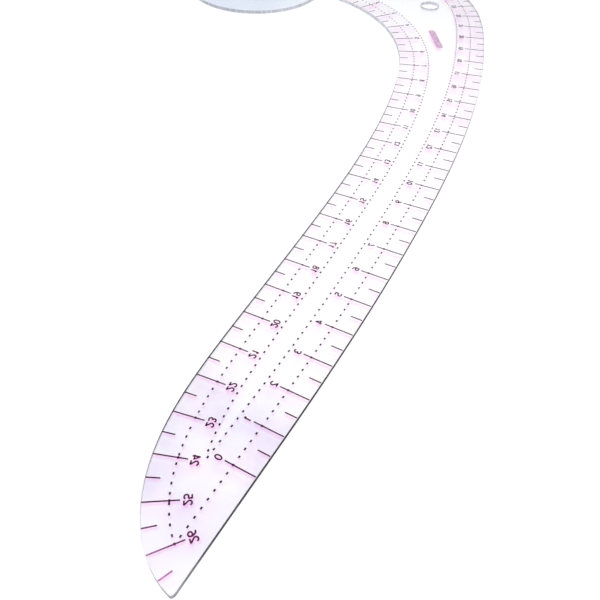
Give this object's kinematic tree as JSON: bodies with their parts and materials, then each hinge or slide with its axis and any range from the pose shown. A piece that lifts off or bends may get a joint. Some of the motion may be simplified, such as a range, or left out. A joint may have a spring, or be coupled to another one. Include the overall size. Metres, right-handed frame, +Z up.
{
  "type": "french curve",
  "caption": "Flat clear drafting curve with a long arm, a hooked head, a hang hole, and printed scales and dotted seam lines along both edges.",
  "frame": {"origin": "centre of the hang hole, on the sheet's underside", "axes": "+Z up out of the printed face, +Y along the arm from its tip towards the head, +X towards the outer edge"},
  "size_m": [0.151, 0.2741, 0.0013],
  "materials": {
    "clear_plastic": "clear, polished faces with die-cut edges",
    "tint_coat": "faint translucent coat",
    "magenta_ink": "screen-printed ink",
    "seam_ink": "screen-printed ink",
    "badge_ink": "screen-printed ink"
  },
  "bodies": {
    "root": {"clear_sheet": "clear_plastic", "band_tint": "tint_coat", "outer_long_ticks": "magenta_ink", "outer_short_ticks": "magenta_ink", "outer_numerals": "magenta_ink", "inner_long_ticks": "magenta_ink", "inner_short_ticks": "magenta_ink", "inner_numerals": "magenta_ink", "outer_near_seam": "seam_ink", "outer_far_seam": "seam_ink", "inner_near_seam": "seam_ink", "inner_far_seam": "seam_ink", "blank_badge": "badge_ink"}
  },
  "joints": []
}
